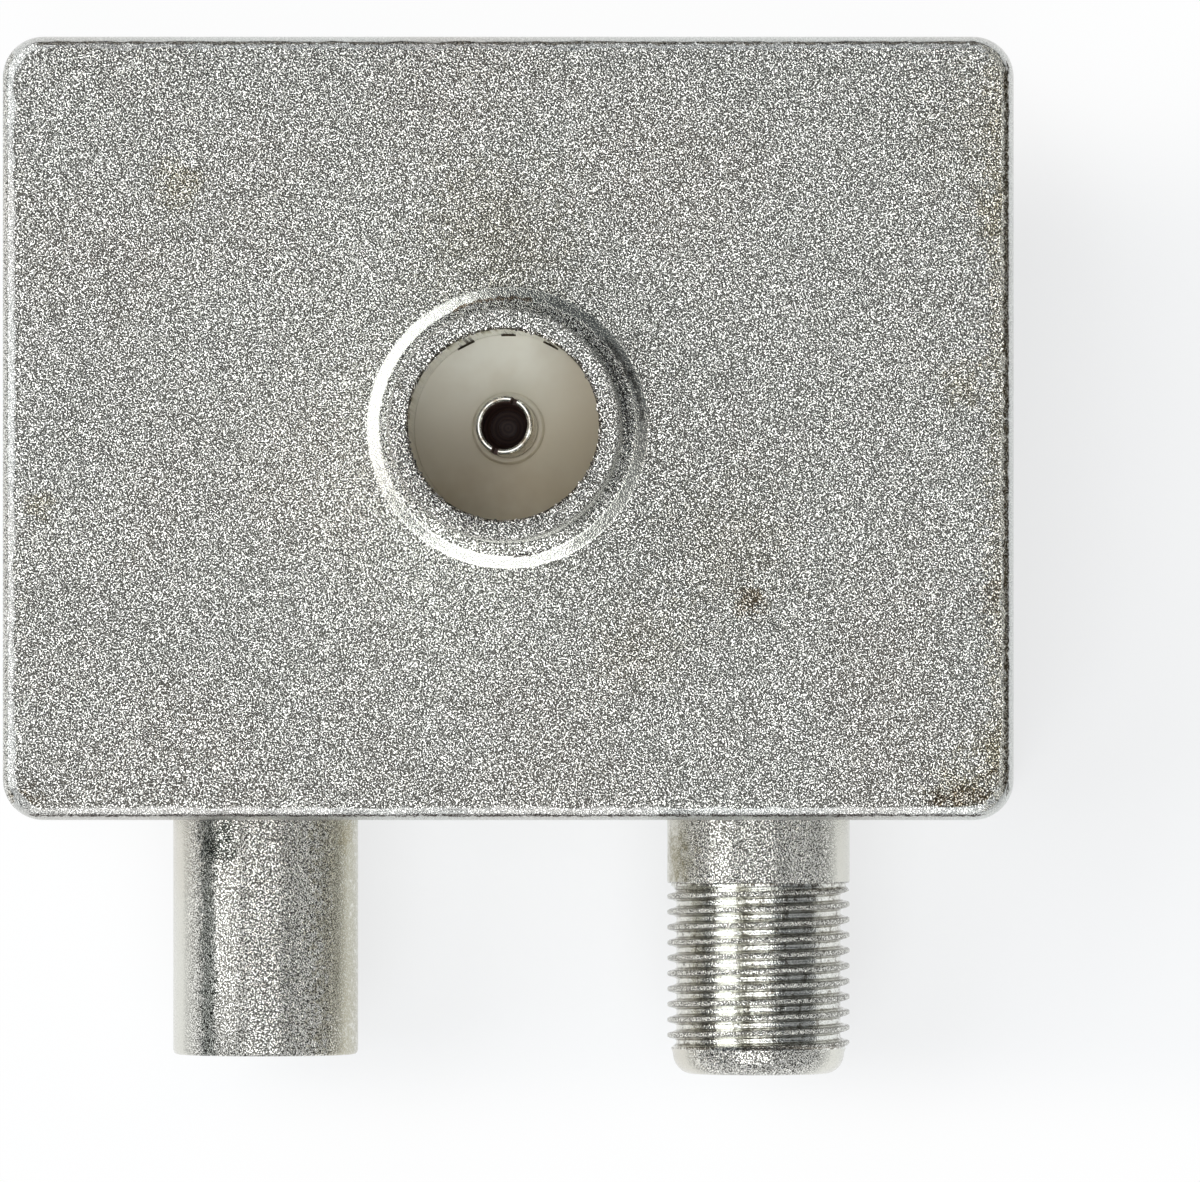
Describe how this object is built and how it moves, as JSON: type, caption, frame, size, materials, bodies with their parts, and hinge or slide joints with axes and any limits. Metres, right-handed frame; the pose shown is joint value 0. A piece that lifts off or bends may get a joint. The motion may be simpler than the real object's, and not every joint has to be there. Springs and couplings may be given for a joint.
{
  "type": "coaxial adapter",
  "caption": "Die-cast metal box with a push-fit aerial socket on its face, and a push-fit plug and a threaded F port on its lower edge.",
  "frame": {"origin": "point on the rear cover's outer face straight behind the front socket's axis", "axes": "+Z out of the front face along the socket's axis, -Y along the two ports on the lower edge, +X from the push-fit plug to the threaded port"},
  "size_m": [0.0518, 0.0532, 0.023],
  "materials": {
    "cast_zinc": "nickel plated zinc casting with a fine grainy skin on the box, smooth and bright on the shells",
    "tin_plate": "bright tinned steel sheet with faint rolling marks",
    "white_plastic": "off-white moulded plastic, slightly mottled",
    "plated_contact": "nickel plated brass, bright with dull spots",
    "board": "brown paper laminate circuit board",
    "ferrite": "dark sintered ferrite",
    "copper_wire": "enamelled copper wire",
    "chip": "ceramic chip with tinned ends",
    "solder": "solder, bright and smooth"
  },
  "bodies": {
    "root": {"housing": "cast_zinc", "rear_cover": "tin_plate", "socket_insulator": "white_plastic", "socket_contact": "plated_contact", "plug_insulator": "white_plastic", "plug_pin": "plated_contact", "f_insulator": "white_plastic", "f_contact": "plated_contact", "circuit_board": "board", "matching_core": "ferrite", "matching_winding": "copper_wire", "splitting_core": "ferrite", "splitting_winding": "copper_wire", "socket_capacitor": "chip", "plug_capacitor": "chip", "f_capacitor": "chip", "balance_resistor": "chip", "plug_joint": "solder", "f_joint": "solder", "socket_joint": "solder", "ground_joints": "solder"}
  },
  "joints": []
}
